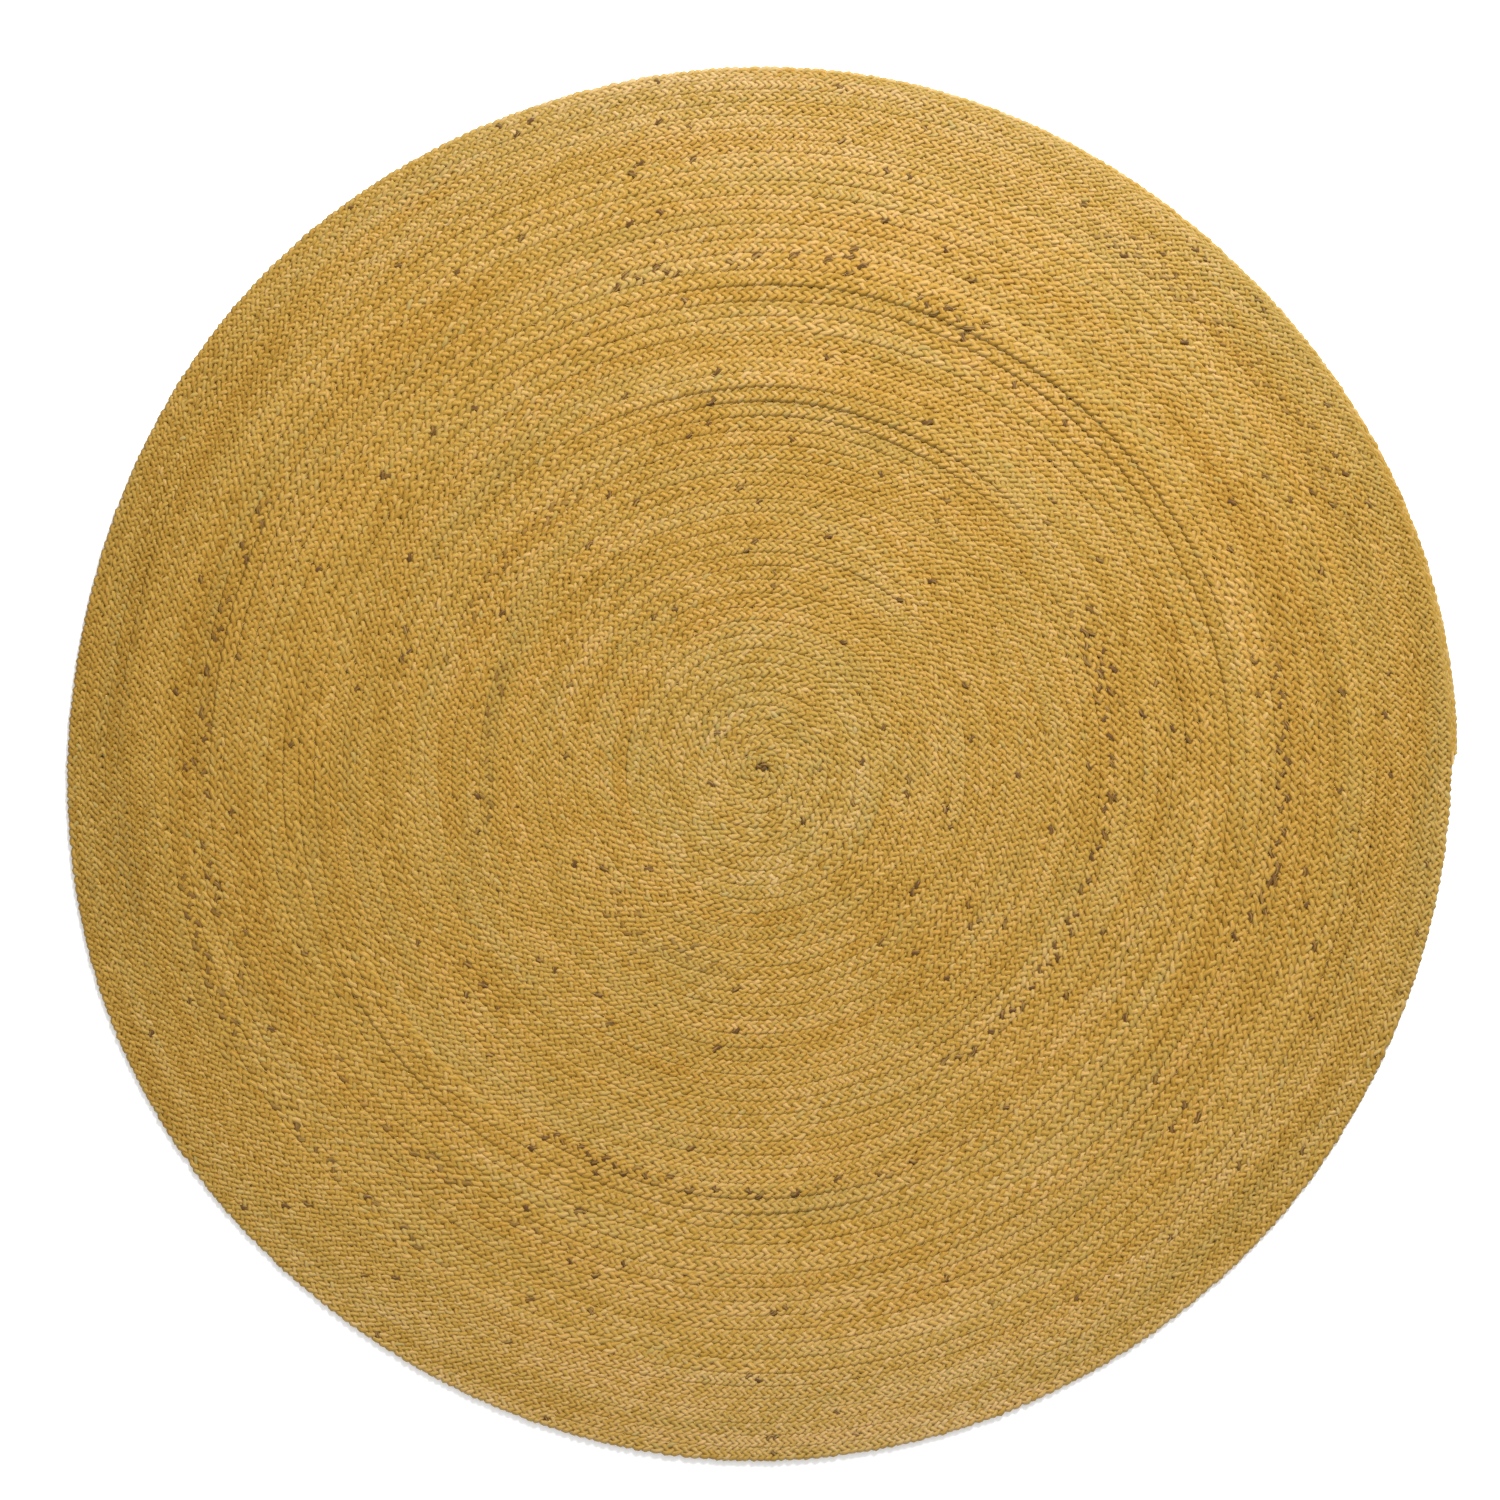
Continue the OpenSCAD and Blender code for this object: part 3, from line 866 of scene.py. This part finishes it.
zigzag_tree = build_zigzag_tree()
print("tree", zigzag_tree.name, "has", len(zigzag_tree.nodes), "nodes")

# %% [markdown]
# The needle thread is on the top and the bobbin thread on the underside, half a stitch behind. A stitch
# takes about as much plait as one tuft. Each length of plait was sewn on with its own run of thread.

# %% Sew the turns together
STITCH = 9.5 * MM
THREAD_R = 0.45 * MM
THREAD_DEPTH = 0.7 * MM
THREAD_STRIPS = 48

for side, level, shift in (("needle", 1, 0.0), ("bobbin", -1, 0.25)):
    for k in range(len(LENGTHS)):
        start = run_to[first_half[k]] + 2 * TURN_GAP
        end = run_to[min(first_half[k + 1], LAST - 1)] - 2 * TURN_GAP
        run = np.arange(start + shift * STITCH, end, STITCH / 2)
        groove = spiral_at(run, outward=1.0)[0]
        name = f"{side}_thread_{k + 1:02d}"
        piece = shape_with(
            name, line_object(settle(groove), {}), zigzag_tree,
            {
                "Height": THICK / 2 + level * THREAD_DEPTH, "Thread Radius": THREAD_R,
                "Material": thread_cord,
            },
        )
        map_strand(piece, THREAD_STRIPS)
        place_piece(piece, name)
        pieces[name] = piece
    print(f"{side} thread: last run has {len(run)} half stitches")

# %% [markdown]
# ## The two ends
#
# At the start the four strands are tied in a small knot and pushed into the eye of the first turn. The
# knot is one bundle on a trefoil path, flattened to fit. At the far end the plait is bound with thread,
# wound tightly round it from one end to the other.

# %% Tie the knot and wind the binding
def swept_piece(name, points, values):
    """One bundle swept along the points."""
    line = line_object(points, {})
    line_tree, given, result = open_tree(
        name, "GeometryNodeTree",
        [("Line", "NodeSocketGeometry", None)] + [(label, socket, None) for label, socket, _ in values],
        [("Mesh", "NodeSocketGeometry")],
    )
    curve = add(line_tree, "GeometryNodeMeshToCurve", {"Mesh": given["Line"]}).outputs[0]
    inputs = {"Curve": curve} | {label: given[label] for label, _, _ in values}
    bundle = add(line_tree, "GeometryNodeGroup", inputs, node_tree=bundle_tree)
    real = add(line_tree, "GeometryNodeRealizeInstances", {"Geometry": bundle.outputs[0]})
    dressed = add(
        line_tree, "GeometryNodeSetMaterial", {"Geometry": real.outputs[0], "Material": given["Material"]}
    )
    line_tree.links.new(dressed.outputs[0], result["Mesh"])
    return shape_with(name, line, line_tree, {label: value for label, _, value in values})


END_STRIPS = 4
knot_low, knot_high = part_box("start_knot")
knot_mid = (np.array(knot_low) + np.array(knot_high)) / 2
knot_at = settle(knot_mid[None, :2])[0] + (0, 0, THICK / 2)
t = np.linspace(0, 2 * math.pi, 61)[:-1]
trefoil = np.column_stack([np.sin(t) + 2 * np.sin(2 * t), np.cos(t) - 2 * np.cos(2 * t), -np.sin(3 * t)])
trefoil = trefoil * np.array([2.0, 1.05, 1.5]) * MM + knot_at
knot = swept_piece(
    "start_knot_strands", trefoil,
    [
        ("Half Width", "NodeSocketFloat", 1.9 * MM), ("Half Thickness", "NodeSocketFloat", 1.5 * MM),
        ("Sides", "NodeSocketInt", 8), ("Lump Height", "NodeSocketFloat", 0.6 * MM),
        ("Material", "NodeSocketMaterial", jute[1]),
    ],
)
map_strand(knot, END_STRIPS)
place_piece(knot, "start_knot")

WIND_PITCH = 0.9 * MM
turns_wound = BINDING_L / WIND_PITCH
t = np.linspace(0, 1, int(turns_wound * 16))
run = run_to[-1] - BINDING_L * (1 - t) - 0.5 * MM
flat, wide = spiral_at(run)
ahead = spiral_at(run + 0.5 * MM)[0] - flat
normal = np.column_stack([-ahead[:, 1], ahead[:, 0]]) / np.linalg.norm(ahead, axis=1)[:, None]
spin = 2 * math.pi * turns_wound * t
reach = np.cos(spin) * (wide / 2 - THREAD_R)
wound = settle(flat + normal * reach[:, None])
wound[:, 2] += THICK / 2 + np.sin(spin) * 2.6 * MM
binding = swept_piece(
    "tail_binding_thread", wound,
    [
        ("Half Width", "NodeSocketFloat", THREAD_R), ("Half Thickness", "NodeSocketFloat", THREAD_R),
        ("Sides", "NodeSocketInt", 6), ("Lump Height", "NodeSocketFloat", 0.0),
        ("Material", "NodeSocketMaterial", binding_cord),
    ],
)
map_strand(binding, END_STRIPS)
place_piece(binding, "tail_binding")
print("knot and binding made")

# %% [markdown]
# ## Light, floor and camera
#
# A rug is best seen from straight above, so the camera looks down, far enough away that the rim isn't seen
# at a slant. The light is soft and comes mostly from the far side, which shows the relief of the tufts.

# %% Stage
def soft_light(name, place, size, watts):
    lamp = bpy.data.lights.new(name, "AREA")
    lamp.size, lamp.energy = size, watts
    made = bpy.data.objects.new(name, lamp)
    made.location = place
    made.rotation_euler = (-made.location).to_track_quat("-Z", "Y").to_euler()
    bpy.context.scene.collection.objects.link(made)


scene = bpy.context.scene
scene.view_settings.view_transform = "Standard"
floor_mesh = bpy.data.meshes.new("floor")
SPAN = 12.0
FLOOR_Z = -0.3 * MM
corners = [(x * SPAN, y * SPAN, FLOOR_Z) for x, y in ((-1, -1), (1, -1), (1, 1), (-1, 1))]
floor_mesh.from_pydata(corners, [], [(0, 1, 2, 3)])
floor = bpy.data.objects.new("floor", floor_mesh)
scene.collection.objects.link(floor)
paint = bpy.data.materials.new("Pale floor")
paint.use_nodes = True
paint.node_tree.nodes["Principled BSDF"].inputs["Base Color"].default_value = (0.94, 0.94, 0.94, 1)
paint.node_tree.nodes["Principled BSDF"].inputs["Roughness"].default_value = 0.9
floor_mesh.materials.append(paint)

world = bpy.data.worlds.new("studio")
world.use_nodes = True
world.node_tree.nodes["Background"].inputs["Color"].default_value = (1, 1, 1, 1)
world.node_tree.nodes["Background"].inputs["Strength"].default_value = 0.9
scene.world = world
soft_light("key", (1.3, 3.4, 2.7), 1.3, 285)

CAMERA_HEIGHT = 4.0
FRAME_W = 2 * RUG_R * 1500 / 1390
lens = bpy.data.cameras.new("camera")
lens.sensor_width = 36
lens.lens = lens.sensor_width * CAMERA_HEIGHT / FRAME_W
camera = bpy.data.objects.new("camera", lens)
camera.location = (-9.7 * MM, 15.1 * MM, CAMERA_HEIGHT)
scene.collection.objects.link(camera)
scene.camera = camera
print(f"frame {FRAME_W:.3f} m wide, lens {lens.lens:.1f} mm")
